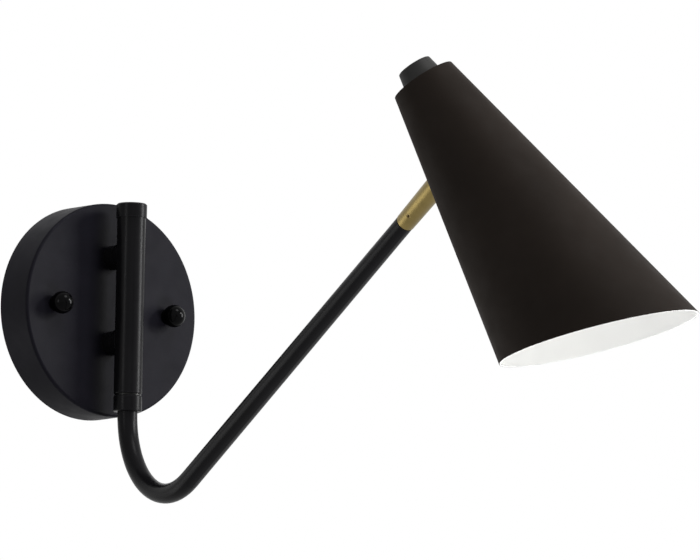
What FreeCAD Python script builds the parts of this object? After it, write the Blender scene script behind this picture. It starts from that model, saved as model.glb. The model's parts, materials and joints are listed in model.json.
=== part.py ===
import FreeCAD, Part
import math
import os

from FreeCAD import Placement, Rotation, Vector

# Swing arm wall sconce.  Millimetres, +Z up.  The wall is the plane y = 0, the
# lamp stands out of it towards -Y, and the origin is the centre of the
# canopy's back rim.  The arm, the knuckle and the head are drawn in their own
# straight frames and then turned to the angles they rest at.

# ---- canopy (the round pan on the wall) ----
CANOPY_DIAMETER = 120.0
CANOPY_DEPTH = 24.0
CANOPY_WALL = 1.2
CANOPY_EDGE_RADIUS = 1.6

# ---- crossbar and the two mounting studs ----
STUD_SPACING = 79.3
STUD_DIAMETER = 4.0
STUD_BORE_CLEARANCE = 0.25
STUD_END_GAP = 0.5
CROSSBAR_LENGTH = 96.0
CROSSBAR_WIDTH = 22.0
CROSSBAR_THICKNESS = 2.0
CROSSBAR_CORNER_RADIUS = 4.4
BOX_SLOT_OFFSET = 30.0
BOX_SLOT_LENGTH = 12.0
BOX_SLOT_WIDTH = 4.6
GROUND_SCREW_ACROSS = 13.5
GROUND_SCREW_HEIGHT = 5.4
GROUND_SCREW_SHANK = 3.4
GROUND_SCREW_HEAD = 6.4
GROUND_SCREW_HEAD_HEIGHT = 2.2
STUD_NUT_FLATS = 7.0
STUD_NUT_HEIGHT = 3.2

# ---- ball nuts that show on the canopy's face ----
BALL_NUT_DIAMETER = 12.7
BALL_NUT_CENTRE_HEIGHT = 6.1
BALL_NUT_NECK_DIAMETER = 9.0
BALL_NUT_THREAD_DEPTH = 7.0

# ---- hinge barrel, parallel to the wall ----
BARREL_AXIS_DISTANCE = 40.3
BARREL_DIAMETER = 16.0
BARREL_BORE = 12.4
BARREL_TOP = 50.6
BARREL_BOTTOM = -48.8
BARREL_CAP_DIAMETER = 17.2
BARREL_CAP_HEIGHT = 7.9
BARREL_CAP_CHAMFER = 0.7
BARREL_CAP_PLUG_DEPTH = 8.0
PRESS_CLEARANCE = 0.05

# ---- standoffs between the canopy and the barrel ----
STANDOFF_DIAMETER = 13.6
STANDOFF_RING_DIAMETER = 14.8
STANDOFF_RING_WIDTH = 1.4
STANDOFF_MIDDLE = 5.3
STANDOFF_SPACING = 48.3
MOUNT_SCREW_DIAMETER = 5.0
MOUNT_SCREW_HEAD = 9.0
MOUNT_SCREW_HEAD_HEIGHT = 3.0
WIRE_NIPPLE_DIAMETER = 8.0
WIRE_NIPPLE_BORE = 5.4
WIRE_NIPPLE_STUB = 7.0
WIRE_NUT_FLATS = 12.0
WIRE_NUT_HEIGHT = 3.0
MOUNT_HOLE_CLEARANCE = 0.15
THREAD_PAST_BARREL_WALL = 1.0

# ---- swing hinge in the barrel's lower end ----
WASHER_THICKNESS = 1.0
WASHER_DIAMETER = 15.0
JOINT_CHAMFER = 0.5
COLLAR_DIAMETER = 16.0
COLLAR_LENGTH = 8.9
COLLAR_EDGE_RADIUS = 0.6
HINGE_NIPPLE_DIAMETER = 8.0
HINGE_NIPPLE_BORE = 5.6
HINGE_NIPPLE_IN_COLLAR = 3.8
HINGE_NIPPLE_END = 1.5
HINGE_RUNNING_CLEARANCE = 0.06
BUSHING_LENGTH = 12.0
SPRING_WASHER_THICKNESS = 1.0
SPRING_WASHER_DIAMETER = 11.4
HINGE_NUT_FLATS = 10.0
HINGE_NUT_HEIGHT = 4.0
FACE_GAP = 0.1

# ---- arm tube, whose straight leg tapers towards the head ----
TUBE_DIAMETER = 11.2
TUBE_HEAD_DIAMETER = 10.4
TUBE_BORE = 8.4
TUBE_END_CHAMFER = 0.2
TUBE_IN_COLLAR = 4.0
BEND_RADIUS = 50.0
LEG_SLOPE = 26.87
LEG_LENGTH = 261.2
STRAIGHT_BELOW_COLLAR = 0.4

# ---- head swivel: a brass stem that turns on a spigot in the arm's end ----
SPIGOT_DIAMETER = 6.0
SPIGOT_BORE = 3.8
SPIGOT_SHOULDER = 14.0
SPIGOT_REACH = 16.0
SWIVEL_RUNNING_CLEARANCE = 0.06
STEM_START_DIAMETER = 10.8
STEM_START_CHAMFER = 0.3
STEM_END_DIAMETER = 11.8
STEM_TAPER_LENGTH = 33.2
STEM_CYLINDER_LENGTH = 5.0
STEM_TO_TUBE_GAP = 0.3
SPIGOT_GROOVE_POSITION = 9.0
SPIGOT_GROOVE_WIDTH = 3.0
SPIGOT_GROOVE_DEPTH = 0.7
SET_SCREW_DIAMETER = 2.5
SET_SCREW_POINT = 1.6
SET_SCREW_SOCKET = 1.3
SET_SCREW_SOCKET_DEPTH = 0.8
SET_SCREW_RECESS = 0.3
SET_SCREW_TURN = 45.5

# ---- knuckle: tongue on the stem, fork on the head ----
TONGUE_THICKNESS = 4.0
KNUCKLE_EYE_RADIUS = 5.0
TONGUE_ROOT = 6.0
FORK_ROOT = 6.6
FORK_CHEEK_THICKNESS = 2.6
FORK_SIDE_CLEARANCE = 0.15
FORK_DISC_DIAMETER = 11.0
PIVOT_DIAMETER = 3.5
PIVOT_CLEARANCE = 0.05
PIVOT_HEAD_DIAMETER = 6.6
PIVOT_HEAD_HEIGHT = 1.6
PIVOT_NUT_HEIGHT = 2.0
PIVOT_NUT_FLATS = 6.0
PIN_TO_SHADE = 10.1
FORK_NIPPLE_DIAMETER = 7.0
FORK_NIPPLE_BORE = 3.8
FORK_NIPPLE_INSIDE = 5.5
FORK_NUT_FLATS = 10.0
FORK_NUT_HEIGHT = 2.6
SADDLE_DIAMETER = 12.6
SADDLE_THICKNESS = 1.0
INNER_SADDLE_THICKNESS = 1.6
FORK_NIPPLE_CLEARANCE = 0.15

# ---- shade: a cone with a slanting mouth ----
SHADE_TOP_RADIUS = 18.1
SHADE_HALF_ANGLE = 11.41
SHADE_WALL = 1.0
SHADE_LENGTH = 168.9
MOUTH_SLANT = 18.5
MOUTH_TURN = 53.12
PIN_BELOW_SHADE_TOP = 44.31
SHADE_TOP_BORE = 10.4

# ---- cap on the shade, and the lampholder under it ----
CAP_BASE_RADIUS = 11.5
CAP_HEIGHT = 9.5
CAP_EDGE_RADIUS = 0.8
CAP_THREAD_DEPTH = 6.0
HOLDER_NIPPLE_DIAMETER = 10.0
HOLDER_NIPPLE_BORE = 6.0
HOLDER_NIPPLE_IN_BASE = 5.0
HOLDER_NUT_FLATS = 13.0
HOLDER_NUT_HEIGHT = 2.6
HOLDER_BASE_DIAMETER = 27.0
HOLDER_BASE_HEIGHT = 9.0
HOLDER_BODY_DIAMETER = 29.6
HOLDER_BODY_HEIGHT = 30.0
HOLDER_BODY_WALL = 1.4
HOLDER_FLOOR = 3.0
SHELL_DIAMETER = 26.6
SHELL_WALL = 0.5
SHELL_DEPTH = 22.0
SHELL_ROLL_RADIUS = 0.6
SHELL_ROLLS = 5
CONTACT_WIDTH = 5.0
CONTACT_THICKNESS = 0.5
CONTACT_LENGTH = 12.0
CONTACT_RISE = 4.0
CONTACT_FOOT_LENGTH = 4.2
TERMINAL_SCREW_HEAD = 4.6
TERMINAL_SCREW_HEAD_HEIGHT = 1.6
TERMINAL_SCREW_SHANK = 2.6
TERMINAL_SCREW_LENGTH = 5.0
TERMINAL_SCREW_OFFSET = 10.6

# ---- lead held inside the lamp ----
LEAD_DIAMETER = 3.0
LEAD_HOLE_CLEARANCE = 0.2
LEAD_START_DEPTH = 10.0
LEAD_TURN_RADIUS = 4.6
LEAD_END_GAP = 0.3
HEAD_LEAD_TURN_RADIUS = 3.9
LEAD_BESIDE_HOLDER = 0.6
LEAD_ABOVE_BODY = 2.0
LEAD_INTO_BASE = 4.5
LEAD_RISE_IN_BASE = 4.0

# ---- proportions shared by all screws and nuts ----
SCREW_HEAD_ROUNDING = 0.45
SCREW_SLOT_WIDTH = 0.14
SCREW_SLOT_DEPTH = 0.4
NUT_CORNER_CHAMFER = 0.9

# ---- how far a cutting block runs past the face it cuts, and a joined block runs in ----
CUT_THROUGH = 1.0
RUN_IN = 1.0

# ---- angles at rest ----
SWING_AT_REST = -8.97
SWIVEL_AT_REST = -10.52
KNUCKLE_BEND = 19.63
FORK_TURN = 37.47

AXIS_X = Vector(1, 0, 0)
AXIS_Y = Vector(0, 1, 0)
AXIS_Z = Vector(0, 0, 1)
OUTWARD = Vector(0, -1, 0)

hinge_axis = Vector(0, -BARREL_AXIS_DISTANCE, 0)
canopy_inner_face = CANOPY_DEPTH - CANOPY_WALL
barrel_inner_wall = BARREL_AXIS_DISTANCE - BARREL_BORE / 2.0
collar_top = BARREL_BOTTOM - WASHER_THICKNESS
collar_bottom = collar_top - COLLAR_LENGTH
bend_start = collar_bottom - STRAIGHT_BELOW_COLLAR
standoff_heights = (
    STANDOFF_MIDDLE + STANDOFF_SPACING / 2.0,
    STANDOFF_MIDDLE - STANDOFF_SPACING / 2.0,
)
stem_length = STEM_TAPER_LENGTH + STEM_CYLINDER_LENGTH
pin_beyond_tube = STEM_TO_TUBE_GAP + stem_length + TONGUE_ROOT
fork_disc_end = PIN_TO_SHADE - SADDLE_THICKNESS
fork_cheek_inside = TONGUE_THICKNESS / 2.0 + FORK_SIDE_CLEARANCE
fork_cheek_outside = fork_cheek_inside + FORK_CHEEK_THICKNESS
fork_nipple_end = PIN_TO_SHADE + SHADE_WALL + FORK_NIPPLE_INSIDE
half_angle = math.radians(SHADE_HALF_ANGLE)
shade_radius_at_pin = SHADE_TOP_RADIUS + PIN_BELOW_SHADE_TOP * math.tan(half_angle)
shade_axis_y = -(shade_radius_at_pin + PIN_TO_SHADE / math.cos(half_angle))
shade_top = Vector(0, shade_axis_y, PIN_BELOW_SHADE_TOP)
holder_base_top = PIN_BELOW_SHADE_TOP - SHADE_WALL - HOLDER_NUT_HEIGHT
holder_body_top = holder_base_top - HOLDER_BASE_HEIGHT


# ---------------------------------------------------------------- helpers

def rod(diameter, start, direction, length):
    """A round bar from a point along a direction."""
    return Part.makeCylinder(diameter / 2.0, length, start, direction)


def ring(outer, inner, start, direction, length):
    """A round bar with a round hole through it."""
    return rod(outer, start, direction, length).cut(rod(inner, start, direction, length))


def hex_bar(flats, start, direction, length):
    """A hexagonal bar of a given width across its flats."""
    corner = flats / math.sqrt(3.0)
    points = []
    for index in range(7):
        angle = math.radians(60.0 * index)
        points.append(Vector(corner * math.cos(angle), corner * math.sin(angle), 0))
    bar = Part.Face(Part.makePolygon(points)).extrude(Vector(0, 0, length))
    bar.Placement = Placement(start, Rotation(AXIS_Z, direction))
    return bar


def hex_nut(flats, bore, start, direction, height):
    """A hexagonal nut whose corners are rounded off on both faces."""
    corner = flats / math.sqrt(3.0)
    chamfer = (corner - flats / 2.0) * NUT_CORNER_CHAMFER
    blank = Part.makeCylinder(corner, height)
    blank = blank.makeChamfer(chamfer, [edge for edge in blank.Edges if edge.Closed])
    nut = blank.common(hex_bar(flats, Vector(0, 0, 0), AXIS_Z, height))
    nut = nut.cut(rod(bore, Vector(0, 0, -CUT_THROUGH), AXIS_Z, height + 2 * CUT_THROUGH))
    nut.Placement = Placement(start, Rotation(AXIS_Z, direction))
    return nut


def slot_cutter(centre, length, width, depth):
    """A round-ended slot along X, cut through in Y."""
    half = (length - width) / 2.0
    body = Part.makeBox(2 * half, depth, width, centre + Vector(-half, -depth / 2.0, -width / 2.0))
    for side in (-1, 1):
        end = centre + Vector(side * half, -depth / 2.0, 0)
        body = body.fuse(rod(width, end, AXIS_Y, depth))
    return body


def path_wire(points, radius):
    """Straight runs joined by tangent arcs of one radius."""
    edges = []
    start = points[0]
    for before, corner, after in zip(points, points[1:], points[2:]):
        arrive = (corner - before).normalize()
        leave = (after - corner).normalize()
        turn = arrive.getAngle(leave)
        trim = radius * math.tan(turn / 2.0)
        arc_start = corner - arrive * trim
        arc_end = corner + leave * trim
        inward = (leave - arrive).normalize()
        middle = corner + inward * (radius / math.cos(turn / 2.0) - radius)
        edges.append(Part.LineSegment(start, arc_start).toShape())
        edges.append(Part.Arc(arc_start, middle, arc_end).toShape())
        start = arc_end
    edges.append(Part.LineSegment(start, points[-1]).toShape())
    return Part.Wire(edges)


def sweep_round(wire, diameter):
    """A round bar that follows a wire."""
    first = wire.Edges[0]
    start = first.valueAt(first.FirstParameter)
    heading = first.tangentAt(first.FirstParameter)
    circle = Part.Wire(Part.makeCircle(diameter / 2.0, start, heading))
    return wire.makePipeShell([circle], True, True)


def pan_head(head, head_height, shank, shank_length, start, direction):
    """A screw: a domed head on the near side of start, its shank beyond it."""
    top = Part.makeCylinder(head / 2.0, head_height, Vector(0, 0, -head_height))
    rim = [edge for edge in top.Edges if edge.Closed and edge.BoundBox.ZMax < -head_height / 2.0]
    top = top.makeFillet(head_height * SCREW_HEAD_ROUNDING, rim)
    slot_width = head * SCREW_SLOT_WIDTH
    slot = Part.makeBox(head, slot_width, head_height * SCREW_SLOT_DEPTH)
    slot.translate(Vector(-head / 2.0, -slot_width / 2.0, -head_height))
    screw = top.cut(slot).fuse(Part.makeCylinder(shank / 2.0, shank_length)).removeSplitter()
    screw.Placement = Placement(start, Rotation(AXIS_Z, direction))
    return screw


# --------------------------------------------------- where the frames rest

def arm_placement():
    """The arm's plane, turned about the barrel's axis."""
    return Placement(Vector(0, 0, 0), Rotation(AXIS_Z, SWING_AT_REST), hinge_axis)


def leg_end():
    """The centre of the tube's open end, with the arm straight out."""
    slope = math.radians(LEG_SLOPE)
    out = BEND_RADIUS * (1 + math.sin(slope)) + LEG_LENGTH * math.cos(slope)
    up = LEG_LENGTH * math.sin(slope) - BEND_RADIUS * math.cos(slope)
    return Vector(0, -BARREL_AXIS_DISTANCE - out, bend_start + up)


def leg_placement():
    """Origin at the tube's end, +Z along the leg, +X across the arm."""
    return arm_placement() * Placement(leg_end(), Rotation(AXIS_X, 90.0 - LEG_SLOPE))


def stem_placement():
    """Origin at the knuckle's pin, +Z along the leg, +X along the pin."""
    at_pin = Placement(Vector(0, 0, pin_beyond_tube), Rotation(AXIS_Z, SWIVEL_AT_REST))
    return leg_placement() * at_pin


def knuckle_placement():
    """Origin at the pin, +Z square through the shade's wall, +X along the pin."""
    return stem_placement() * Placement(Vector(0, 0, 0), Rotation(AXIS_X, KNUCKLE_BEND))


def head_placement():
    """Origin at the pin, +Z up the shade's axis, the arm's side on +Y.

    The shade is locked on the fork's threaded end, turned by its own angle.
    """
    turned = Placement(Vector(0, 0, 0), Rotation(AXIS_Z, FORK_TURN))
    return knuckle_placement() * turned * fork_placement().inverse()


def placed(shape, placement):
    """The shape moved from its own frame to where it rests."""
    result = shape.copy()
    result.Placement = placement * result.Placement
    return result


# ---------------------------------------------------------- on the wall

def canopy():
    outer = rod(CANOPY_DIAMETER, Vector(0, 0, 0), OUTWARD, CANOPY_DEPTH)
    front = [edge for edge in outer.Edges if edge.Closed and edge.BoundBox.YMax < -CANOPY_DEPTH / 2.0]
    outer = outer.makeFillet(CANOPY_EDGE_RADIUS, front)
    inside = CANOPY_DIAMETER - 2 * CANOPY_WALL
    hollow = rod(inside, OUTWARD * -CUT_THROUGH, OUTWARD, canopy_inner_face + CUT_THROUGH)
    pan = outer.cut(hollow)
    for side in (-1, 1):
        bore = STUD_DIAMETER + 2 * STUD_BORE_CLEARANCE
        stud = Vector(side * STUD_SPACING / 2.0, 0, 0)
        pan = pan.cut(rod(bore, stud, OUTWARD, CANOPY_DEPTH + CUT_THROUGH))
    for height, diameter in zip(standoff_heights, (MOUNT_SCREW_DIAMETER, WIRE_NIPPLE_DIAMETER)):
        bore = diameter + 2 * MOUNT_HOLE_CLEARANCE
        pan = pan.cut(rod(bore, Vector(0, 0, height), OUTWARD, CANOPY_DEPTH + CUT_THROUGH))
    return pan


def crossbar():
    bar = Part.makeBox(
        CROSSBAR_LENGTH, CROSSBAR_THICKNESS, CROSSBAR_WIDTH,
        Vector(-CROSSBAR_LENGTH / 2.0, -CROSSBAR_THICKNESS, -CROSSBAR_WIDTH / 2.0),
    )
    ends = [edge for edge in bar.Edges if abs(edge.BoundBox.YLength - CROSSBAR_THICKNESS) < 0.01]
    bar = bar.makeFillet(CROSSBAR_CORNER_RADIUS, ends)
    through = CROSSBAR_THICKNESS + 2 * CUT_THROUGH
    ground = Vector(GROUND_SCREW_ACROSS, CUT_THROUGH, GROUND_SCREW_HEIGHT)
    cutters = [rod(GROUND_SCREW_SHANK, ground, OUTWARD, through)]
    for side in (-1, 1):
        middle = Vector(side * BOX_SLOT_OFFSET, -CROSSBAR_THICKNESS / 2.0, 0)
        cutters.append(slot_cutter(middle, BOX_SLOT_LENGTH, BOX_SLOT_WIDTH, through))
        stud = Vector(side * STUD_SPACING / 2.0, CUT_THROUGH, 0)
        cutters.append(rod(STUD_DIAMETER, stud, OUTWARD, through))
    for cutter in cutters:
        bar = bar.cut(cutter)
    return bar


def studs():
    reach = CANOPY_DEPTH + BALL_NUT_THREAD_DEPTH - STUD_END_GAP
    pair = []
    for side in (-1, 1):
        pair.append(rod(STUD_DIAMETER, Vector(side * STUD_SPACING / 2.0, 0, 0), OUTWARD, reach))
    return Part.Compound(pair)


def stud_nuts():
    pair = []
    for side in (-1, 1):
        seat = Vector(side * STUD_SPACING / 2.0, -CROSSBAR_THICKNESS, 0)
        pair.append(hex_nut(STUD_NUT_FLATS, STUD_DIAMETER, seat, OUTWARD, STUD_NUT_HEIGHT))
    return Part.Compound(pair)


def ball_nuts():
    pair = []
    for side in (-1, 1):
        seat = Vector(side * STUD_SPACING / 2.0, -CANOPY_DEPTH, 0)
        nut = rod(BALL_NUT_NECK_DIAMETER, seat, OUTWARD, BALL_NUT_CENTRE_HEIGHT)
        ball = Part.makeSphere(BALL_NUT_DIAMETER / 2.0, seat + OUTWARD * BALL_NUT_CENTRE_HEIGHT)
        above_seat = rod(2 * BALL_NUT_DIAMETER, seat, OUTWARD, 2 * BALL_NUT_DIAMETER)
        thread = rod(STUD_DIAMETER, seat, OUTWARD, BALL_NUT_THREAD_DEPTH)
        pair.append(nut.fuse(ball.common(above_seat)).cut(thread).removeSplitter())
    return Part.Compound(pair)


def ground_screw():
    seat = Vector(GROUND_SCREW_ACROSS, -CROSSBAR_THICKNESS, GROUND_SCREW_HEIGHT)
    return pan_head(GROUND_SCREW_HEAD, GROUND_SCREW_HEAD_HEIGHT, GROUND_SCREW_SHANK,
                    CROSSBAR_THICKNESS, seat, AXIS_Y)


def standoff(height, bore):
    """A peg from the canopy's face, saddled onto the barrel, with a ring by it."""
    face = Vector(0, -CANOPY_DEPTH, height)
    peg = rod(STANDOFF_DIAMETER, face, OUTWARD, BARREL_AXIS_DISTANCE - CANOPY_DEPTH)
    ring_end = BARREL_AXIS_DISTANCE - BARREL_DIAMETER / 2.0
    ring_start = Vector(0, STANDOFF_RING_WIDTH - ring_end, height)
    peg = peg.fuse(rod(STANDOFF_RING_DIAMETER, ring_start, OUTWARD, STANDOFF_RING_WIDTH))
    peg = peg.cut(rod(bore, face, OUTWARD, BARREL_AXIS_DISTANCE))
    saddle_start = hinge_axis + AXIS_Z * (height - STANDOFF_DIAMETER)
    return peg.cut(rod(BARREL_DIAMETER, saddle_start, AXIS_Z, 2 * STANDOFF_DIAMETER))


def mount_screw():
    """Holds the upper standoff and the barrel from inside the canopy."""
    seat = Vector(0, -canopy_inner_face, standoff_heights[0])
    shank = barrel_inner_wall - canopy_inner_face + THREAD_PAST_BARREL_WALL
    return pan_head(MOUNT_SCREW_HEAD, MOUNT_SCREW_HEAD_HEIGHT, MOUNT_SCREW_DIAMETER, shank, seat, OUTWARD)


def wire_nipple():
    """The hollow threaded tube through the lower standoff."""
    start = Vector(0, WIRE_NIPPLE_STUB - canopy_inner_face, standoff_heights[1])
    length = barrel_inner_wall - canopy_inner_face + WIRE_NIPPLE_STUB + THREAD_PAST_BARREL_WALL
    return ring(WIRE_NIPPLE_DIAMETER, WIRE_NIPPLE_BORE, start, OUTWARD, length)


def wire_nut():
    start = Vector(0, WIRE_NUT_HEIGHT - canopy_inner_face, standoff_heights[1])
    return hex_nut(WIRE_NUT_FLATS, WIRE_NIPPLE_DIAMETER, start, OUTWARD, WIRE_NUT_HEIGHT)


def barrel():
    start = hinge_axis + AXIS_Z * BARREL_BOTTOM
    length = BARREL_TOP - BARREL_BOTTOM
    tube = rod(BARREL_DIAMETER, start, AXIS_Z, length)
    lower = [edge for edge in tube.Edges if edge.Closed and edge.BoundBox.ZMax < 0]
    tube = tube.makeChamfer(JOINT_CHAMFER, lower)
    tube = tube.cut(rod(BARREL_BORE, start, AXIS_Z, length))
    for height, bore in zip(standoff_heights, (MOUNT_SCREW_DIAMETER, WIRE_NIPPLE_DIAMETER)):
        tube = tube.cut(rod(bore, hinge_axis + AXIS_Z * height, AXIS_Y, BARREL_DIAMETER))
    return tube


def barrel_cap():
    seat = hinge_axis + AXIS_Z * BARREL_TOP
    cap = rod(BARREL_CAP_DIAMETER, seat, AXIS_Z, BARREL_CAP_HEIGHT)
    upper = [edge for edge in cap.Edges if edge.BoundBox.ZMin > BARREL_TOP + 1]
    cap = cap.makeChamfer(BARREL_CAP_CHAMFER, upper)
    plug_start = seat - AXIS_Z * BARREL_CAP_PLUG_DEPTH
    plug = rod(BARREL_BORE - 2 * PRESS_CLEARANCE, plug_start, AXIS_Z, BARREL_CAP_PLUG_DEPTH)
    return cap.fuse(plug).removeSplitter()


def bushing():
    """The fixed bearing pressed into the barrel's lower end."""
    start = hinge_axis + AXIS_Z * BARREL_BOTTOM
    outer = BARREL_BORE - 2 * PRESS_CLEARANCE
    inner = HINGE_NIPPLE_DIAMETER + 2 * HINGE_RUNNING_CLEARANCE
    return ring(outer, inner, start, AXIS_Z, BUSHING_LENGTH)


def base_lead():
    """The lead from the canopy, through the lower standoff, down to the hinge."""
    height = standoff_heights[1]
    points = [
        Vector(0, -LEAD_START_DEPTH, height),
        hinge_axis + AXIS_Z * height,
        hinge_axis + AXIS_Z * (BARREL_BOTTOM + LEAD_END_GAP),
    ]
    return sweep_round(path_wire(points, LEAD_TURN_RADIUS), LEAD_DIAMETER)


# ------------------------------------------------------ turns with the arm

def friction_washer():
    start = hinge_axis + AXIS_Z * collar_top
    return ring(WASHER_DIAMETER, HINGE_NIPPLE_DIAMETER, start, AXIS_Z, WASHER_THICKNESS - FACE_GAP)


def collar():
    start = hinge_axis + AXIS_Z * collar_bottom
    body = rod(COLLAR_DIAMETER, start, AXIS_Z, COLLAR_LENGTH)
    upper = [edge for edge in body.Edges if edge.BoundBox.ZMin > collar_top - 0.1]
    body = body.makeChamfer(JOINT_CHAMFER, upper)
    lower = [edge for edge in body.Edges if edge.BoundBox.ZMax < collar_bottom + 0.1]
    body = body.makeFillet(COLLAR_EDGE_RADIUS, lower)
    body = body.cut(rod(TUBE_DIAMETER, start, AXIS_Z, TUBE_IN_COLLAR))
    body = body.cut(rod(HINGE_NIPPLE_BORE, start, AXIS_Z, COLLAR_LENGTH))
    top = start + AXIS_Z * (COLLAR_LENGTH - HINGE_NIPPLE_IN_COLLAR)
    return body.cut(rod(HINGE_NIPPLE_DIAMETER, top, AXIS_Z, COLLAR_LENGTH))


def hinge_stack_heights():
    """Bottoms of the spring washer and of the nut, above the bushing."""
    washer = BARREL_BOTTOM + BUSHING_LENGTH + FACE_GAP
    return washer, washer + SPRING_WASHER_THICKNESS


def hinge_nipple():
    start = collar_top - HINGE_NIPPLE_IN_COLLAR
    end = hinge_stack_heights()[1] + HINGE_NUT_HEIGHT + HINGE_NIPPLE_END
    return ring(HINGE_NIPPLE_DIAMETER, HINGE_NIPPLE_BORE, hinge_axis + AXIS_Z * start, AXIS_Z, end - start)


def spring_washer():
    start = hinge_axis + AXIS_Z * hinge_stack_heights()[0]
    return ring(SPRING_WASHER_DIAMETER, HINGE_NIPPLE_DIAMETER, start, AXIS_Z, SPRING_WASHER_THICKNESS)


def hinge_nut():
    start = hinge_axis + AXIS_Z * hinge_stack_heights()[1]
    return hex_nut(HINGE_NUT_FLATS, HINGE_NIPPLE_DIAMETER, start, AXIS_Z, HINGE_NUT_HEIGHT)


def leg_bar(diameter, head_diameter, length):
    """A round bar up the leg, tapered if its two ends differ."""
    slope = math.radians(LEG_SLOPE)
    along = Vector(0, -math.cos(slope), math.sin(slope))
    start = leg_end() - along * LEG_LENGTH
    if diameter == head_diameter:
        return rod(diameter, start, along, length)
    return Part.makeCone(diameter / 2.0, head_diameter / 2.0, length, start, along)


def bent_bar(diameter, head_diameter, top, beyond_tube):
    """A round bar on the arm's centreline: down, round the bend and up the leg."""
    drop = rod(diameter, hinge_axis + AXIS_Z * bend_start, AXIS_Z, top - bend_start)
    disc = Part.Face(Part.Wire(Part.makeCircle(diameter / 2.0, hinge_axis + AXIS_Z * bend_start, AXIS_Z)))
    bend_centre = hinge_axis + AXIS_Z * bend_start + OUTWARD * BEND_RADIUS
    bend = disc.revolve(bend_centre, AXIS_X * -1, 90.0 + LEG_SLOPE)
    leg = leg_bar(diameter, head_diameter, LEG_LENGTH + beyond_tube)
    return drop.fuse([bend, leg]).removeSplitter()


def arm_tube():
    top = collar_bottom + TUBE_IN_COLLAR
    outer = bent_bar(TUBE_DIAMETER, TUBE_HEAD_DIAMETER, top, 0)
    open_end = [edge for edge in outer.Edges
                if edge.Closed and edge.CenterOfMass.distanceToPoint(leg_end()) < 0.1]
    outer = outer.makeChamfer(TUBE_END_CHAMFER, open_end)
    return outer.cut(bent_bar(TUBE_BORE, TUBE_BORE, top, 0))


def arm_lead():
    return bent_bar(LEAD_DIAMETER, LEAD_DIAMETER, BARREL_BOTTOM, SPIGOT_REACH - LEAD_END_GAP)


def spigot():
    """Fixed in the tube's open end; the brass stem turns on its nose."""
    shoulder = rod(TUBE_BORE, Vector(0, 0, -SPIGOT_SHOULDER), AXIS_Z, SPIGOT_SHOULDER)
    body = shoulder.fuse(rod(SPIGOT_DIAMETER, Vector(0, 0, 0), AXIS_Z, SPIGOT_REACH))
    groove_start = Vector(0, 0, SPIGOT_GROOVE_POSITION)
    groove_core = SPIGOT_DIAMETER - 2 * SPIGOT_GROOVE_DEPTH
    body = body.cut(ring(SPIGOT_DIAMETER + 2, groove_core, groove_start, AXIS_Z, SPIGOT_GROOVE_WIDTH))
    bore_start = Vector(0, 0, -SPIGOT_SHOULDER)
    return body.cut(rod(SPIGOT_BORE, bore_start, AXIS_Z, SPIGOT_SHOULDER + SPIGOT_REACH))


# ------------------------------------------ turns about the leg (the swivel)

def set_screw_placement():
    """Origin on the stem's axis, level with the spigot's groove, the screw along -X."""
    from_pin = SPIGOT_GROOVE_POSITION + SPIGOT_GROOVE_WIDTH / 2.0 - pin_beyond_tube
    return Placement(Vector(0, 0, from_pin), Rotation(AXIS_Z, SET_SCREW_TURN))


def stem():
    """The tapered brass stem: bored for the spigot, with a tongue at the pin."""
    bottom = -(TONGUE_ROOT + stem_length)
    taper = Part.makeCone(STEM_START_DIAMETER / 2.0, STEM_END_DIAMETER / 2.0, STEM_TAPER_LENGTH,
                          Vector(0, 0, bottom), AXIS_Z)
    lower = [edge for edge in taper.Edges if edge.Closed and edge.BoundBox.ZMax < bottom + 0.1]
    taper = taper.makeChamfer(STEM_START_CHAMFER, lower)
    straight_start = Vector(0, 0, -TONGUE_ROOT - STEM_CYLINDER_LENGTH)
    body = taper.fuse(rod(STEM_END_DIAMETER, straight_start, AXIS_Z, STEM_CYLINDER_LENGTH))
    tongue = Part.makeBox(
        TONGUE_THICKNESS, 2 * KNUCKLE_EYE_RADIUS, TONGUE_ROOT + RUN_IN,
        Vector(-TONGUE_THICKNESS / 2.0, -KNUCKLE_EYE_RADIUS, -TONGUE_ROOT - RUN_IN),
    )
    eye = rod(2 * KNUCKLE_EYE_RADIUS, Vector(-TONGUE_THICKNESS / 2.0, 0, 0), AXIS_X, TONGUE_THICKNESS)
    body = body.fuse([tongue, eye]).removeSplitter()
    pin_hole = PIVOT_DIAMETER + 2 * PIVOT_CLEARANCE
    body = body.cut(rod(pin_hole, Vector(-TONGUE_THICKNESS, 0, 0), AXIS_X, 2 * TONGUE_THICKNESS))
    bore = SPIGOT_DIAMETER + 2 * SWIVEL_RUNNING_CLEARANCE
    body = body.cut(rod(bore, Vector(0, 0, bottom), AXIS_Z, SPIGOT_REACH))
    body = body.cut(rod(SPIGOT_BORE, Vector(0, 0, bottom), AXIS_Z, stem_length - STEM_CYLINDER_LENGTH))
    screw_hole = rod(SET_SCREW_DIAMETER, Vector(0, 0, 0), AXIS_X * -1, STEM_END_DIAMETER)
    return body.cut(placed(screw_hole, set_screw_placement()))


def set_screw():
    """Its point rides in the spigot's groove and keeps the stem on."""
    groove_floor = SPIGOT_DIAMETER / 2.0 - SPIGOT_GROOVE_DEPTH
    inner = SPIGOT_DIAMETER / 2.0 + SWIVEL_RUNNING_CLEARANCE
    from_start = SPIGOT_GROOVE_POSITION + SPIGOT_GROOVE_WIDTH / 2.0 - STEM_TO_TUBE_GAP
    growth = (STEM_END_DIAMETER - STEM_START_DIAMETER) / 2.0 * from_start / STEM_TAPER_LENGTH
    outer = STEM_START_DIAMETER / 2.0 + growth - SET_SCREW_RECESS
    body = rod(SET_SCREW_DIAMETER, AXIS_X * -outer, AXIS_X, outer - inner)
    body = body.fuse(rod(SET_SCREW_POINT, AXIS_X * -inner, AXIS_X, inner - groove_floor - FACE_GAP))
    socket = hex_bar(SET_SCREW_SOCKET, AXIS_X * -outer, AXIS_X, SET_SCREW_SOCKET_DEPTH)
    return placed(body.cut(socket), set_screw_placement())


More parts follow.
